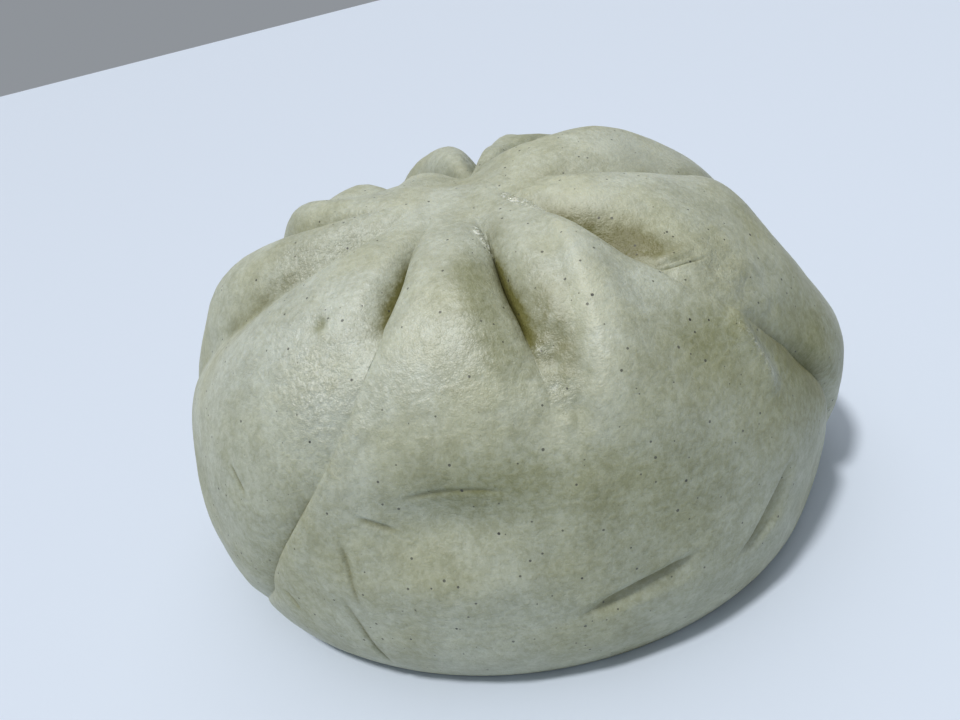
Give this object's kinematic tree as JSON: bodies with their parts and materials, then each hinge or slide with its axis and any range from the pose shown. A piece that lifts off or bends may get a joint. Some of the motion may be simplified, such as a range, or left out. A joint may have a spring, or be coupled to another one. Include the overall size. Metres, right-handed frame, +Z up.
{
  "type": "steamed bun",
  "caption": "Whole steamed bun (baozi): a plump, slightly uneven ball of pale dough with folds gathered to a knot on top, resting on a wide flat foot.",
  "frame": {"origin": "centre of the flat foot, at the middle of the bun's outline seen from above", "axes": "+Z up out of the knot; +X to the right and -Y towards the viewer of the picture"},
  "size_m": [0.0904, 0.0882, 0.0497],
  "materials": {
    "dough": "satin, slightly moist steamed dough skin, pale ivory with a grey-green cast, tan in the folds and with tiny dark specks"
  },
  "bodies": {
    "root": {"bun": "dough"}
  },
  "joints": []
}
